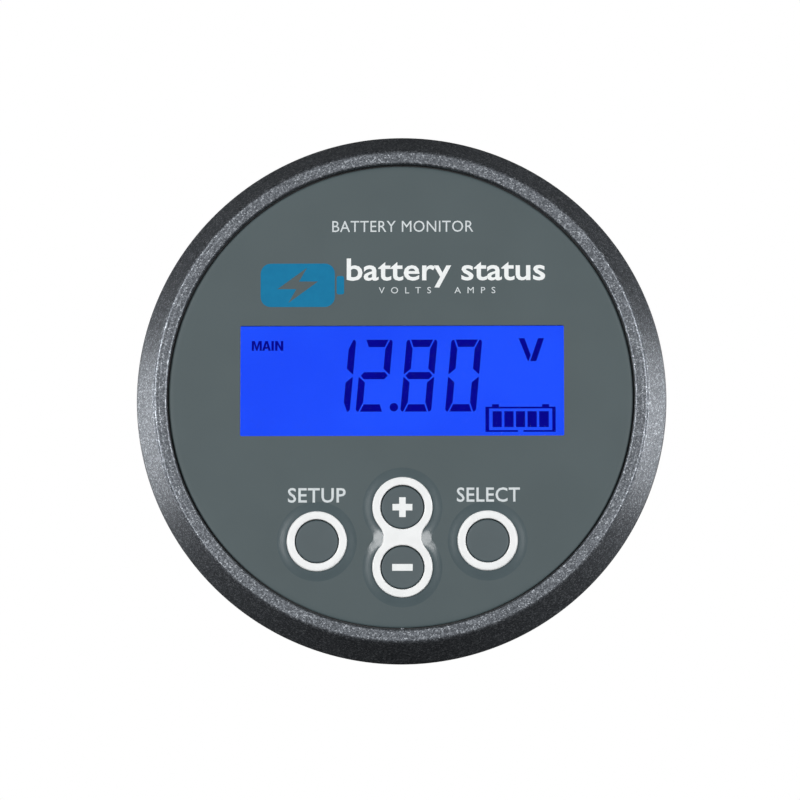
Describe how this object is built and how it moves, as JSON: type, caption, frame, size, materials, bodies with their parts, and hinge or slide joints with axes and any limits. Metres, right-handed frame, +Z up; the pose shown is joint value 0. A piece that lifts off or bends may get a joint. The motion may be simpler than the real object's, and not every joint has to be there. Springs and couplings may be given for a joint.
{
  "type": "battery monitor display",
  "caption": "Round panel-mount battery monitor display with a lit numeric window, push keys, a threaded barrel with lock ring, and rear sockets.",
  "frame": {"origin": "on the barrel's axis, in the plane of the gasket's rear face, which lies on the panel's front", "axes": "+Z up as the display is read; the barrel's axis is Y and points +Y out of the rear; the face looks towards -Y; +X is to the viewer's right"},
  "size_m": [0.063, 0.0391, 0.063],
  "materials": {
    "bezel_plastic": "charcoal moulding with a fine metallic fleck",
    "overlay_sheet": "matt printed polycarbonate sheet",
    "clear_lens": "clear acrylic",
    "black_plastic": "black ABS, lightly textured",
    "foam_gasket": "closed-cell foam",
    "key_plastic": "matt grey, a little lighter than the face",
    "white_rim": "glossy white moulding",
    "lcd_glass": "blue transmissive display cell",
    "zebra_rubber": "layered silicone connector",
    "tray_plastic": "white moulding",
    "light_guide_plastic": "edge-lit acrylic, lit blue",
    "reflector_film": "white reflecting film",
    "led_package": "lit side-view LED package",
    "circuit_board": "green solder mask on glass-fibre board",
    "chip_epoxy": "black epoxy",
    "metal_can": "nickel-plated can",
    "relay_case": "ivory plastic case",
    "capacitor_sleeve": "dark sleeve",
    "screw_steel": "zinc-plated steel",
    "contact_metal": "gold-plated contact",
    "standoff_brass": "turned brass",
    "socket_plastic": "black glass-filled plastic",
    "port_plastic": "natural nylon",
    "terminal_plastic": "green polyamide",
    "label_sheet": "plain printed label"
  },
  "bodies": {
    "housing": {"bezel": "bezel_plastic", "graphic_overlay": "overlay_sheet", "window_lens": "clear_lens", "front_plate": "black_plastic", "case": "black_plastic", "flange_gasket": "foam_gasket", "setup_rim": "white_rim", "select_rim": "white_rim", "plus_minus_rim": "white_rim", "lcd_front_glass": "lcd_glass", "lcd_rear_glass": "lcd_glass", "zebra_strip": "zebra_rubber", "lcd_tray": "tray_plastic", "light_guide": "light_guide_plastic", "reflector": "reflector_film", "backlight_leds": "led_package", "display_board": "circuit_board", "tact_switches": "chip_epoxy", "microcontroller": "chip_epoxy", "crystal": "metal_can", "buzzer": "chip_epoxy", "board_screws": "screw_steel", "link_socket": "chip_epoxy", "link_pins": "contact_metal", "connector_board": "circuit_board", "connector_board_screws": "screw_steel", "relay": "relay_case", "capacitor": "capacitor_sleeve", "shunt_socket": "socket_plastic", "socket_contacts": "contact_metal", "data_port": "port_plastic", "data_port_pins": "contact_metal", "terminal_block": "terminal_plastic", "terminal_clamps": "metal_can", "terminal_screws": "screw_steel", "rear_cover": "black_plastic", "board_posts": "standoff_brass", "cover_screws": "screw_steel", "back_label": "label_sheet"},
    "setup_key": {"setup_key": "key_plastic", "setup_plunger": "chip_epoxy"},
    "select_key": {"select_key": "key_plastic", "select_plunger": "chip_epoxy"},
    "plus_key": {"plus_key": "key_plastic", "plus_plunger": "chip_epoxy"},
    "minus_key": {"minus_key": "key_plastic", "minus_plunger": "chip_epoxy"},
    "thrust_washer": {"thrust_washer": "black_plastic"},
    "lock_ring": {"lock_ring": "black_plastic"}
  },
  "joints": [
    {"name": "setup_press", "type": "slide", "parent": "housing", "child": "setup_key", "axis": [0, 1, 0], "range_m": [0, 0.0003], "stiffness_N_per_m": 5000},
    {"name": "select_press", "type": "slide", "parent": "housing", "child": "select_key", "axis": [0, 1, 0], "range_m": [0, 0.0003], "stiffness_N_per_m": 5000},
    {"name": "plus_press", "type": "slide", "parent": "housing", "child": "plus_key", "axis": [0, 1, 0], "range_m": [0, 0.0003], "stiffness_N_per_m": 5000},
    {"name": "minus_press", "type": "slide", "parent": "housing", "child": "minus_key", "axis": [0, 1, 0], "range_m": [0, 0.0003], "stiffness_N_per_m": 5000},
    {"name": "washer_travel", "type": "slide", "parent": "housing", "child": "thrust_washer", "axis": [0, 1, 0], "range_m": [-0.003, 0.012]},
    {"name": "lock_ring_turn", "type": "hinge", "parent": "thrust_washer", "child": "lock_ring", "pos_m": [0, 0.008, 0], "axis": [0, 1, 0], "range_deg": [-360, 1440]}
  ],
  "couplings": [
    {"joint": "washer_travel", "follows": "lock_ring_turn", "m_per_rad": 0.00047746}
  ]
}
